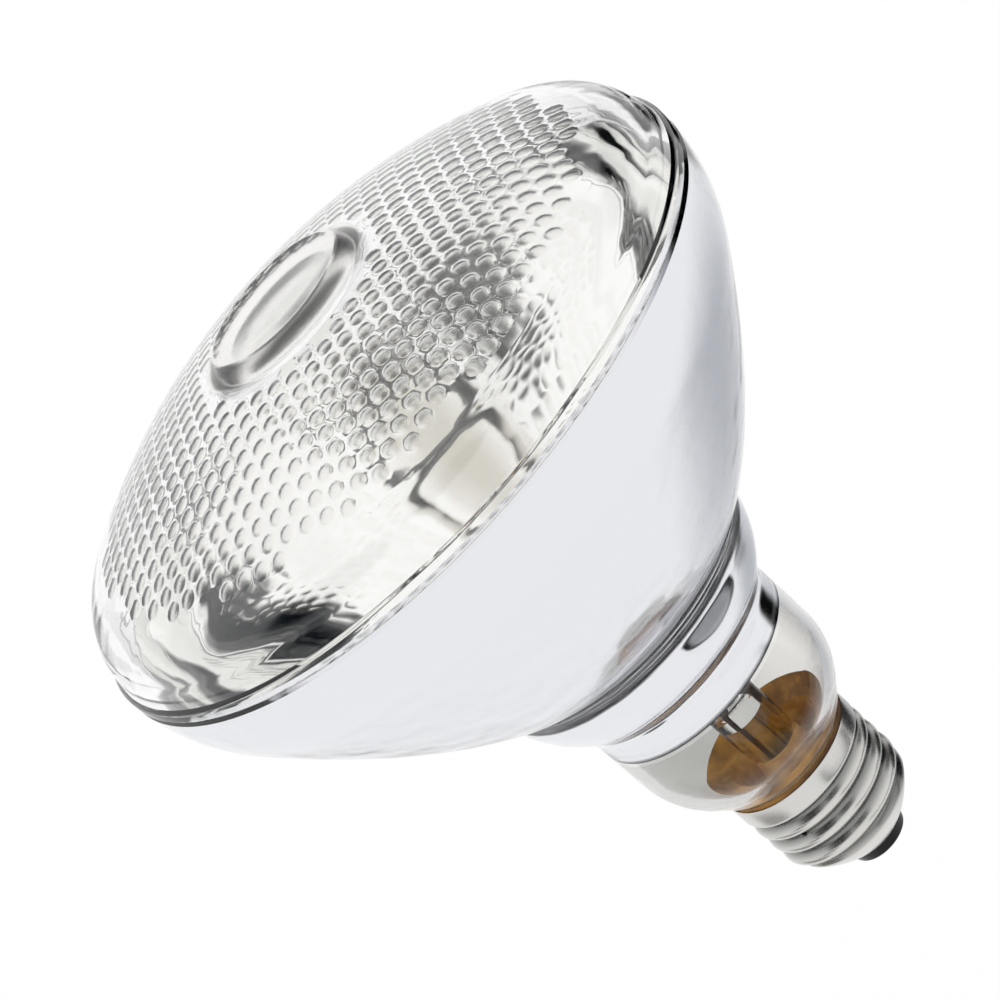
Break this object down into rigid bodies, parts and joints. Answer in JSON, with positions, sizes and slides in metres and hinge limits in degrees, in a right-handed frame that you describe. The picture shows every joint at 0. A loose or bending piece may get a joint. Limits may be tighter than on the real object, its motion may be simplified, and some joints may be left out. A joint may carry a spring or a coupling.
{
  "type": "infrared heat lamp bulb",
  "caption": "Pressed-glass reflector heat lamp with a dimpled domed lens, mirrored bowl, clear stepped neck and screw cap.",
  "frame": {"origin": "tip of the centre contact, on the lamp's axis", "axes": "+Z along the lamp's axis from the cap to the lens, -Y towards the picture's camera"},
  "size_m": [0.1224, 0.1224, 0.1439],
  "materials": {
    "clear_glass": "clear fire-polished borosilicate glass",
    "aluminised_glass": "clear pressed glass with an aluminium mirror film inside the bowl and collar",
    "nickel_plate": "nickel-plated rolled sheet",
    "black_glass": "glossy black insulating glass",
    "contact_brass": "stamped brass",
    "solder": "dull tin solder",
    "cement": "matt brown basing cement",
    "nickel_wire": "drawn nickel wire",
    "copper_wire": "drawn copper wire",
    "tungsten": "dark coiled tungsten wire",
    "molybdenum": "drawn molybdenum wire"
  },
  "bodies": {
    "root": {"basing_cement": "cement", "centre_contact": "contact_brass", "contact_solder": "solder", "exhaust_tube": "clear_glass", "filament": "tungsten", "filament_support_1": "molybdenum", "filament_support_2": "molybdenum", "filament_support_3": "molybdenum", "inner_lead_centre": "nickel_wire", "inner_lead_side": "nickel_wire", "insulator": "black_glass", "lens": "clear_glass", "outer_lead_centre": "copper_wire", "outer_lead_side": "copper_wire", "reflector": "aluminised_glass", "screw_shell": "nickel_plate", "stem_flare": "clear_glass", "support_rod": "clear_glass"}
  },
  "joints": []
}
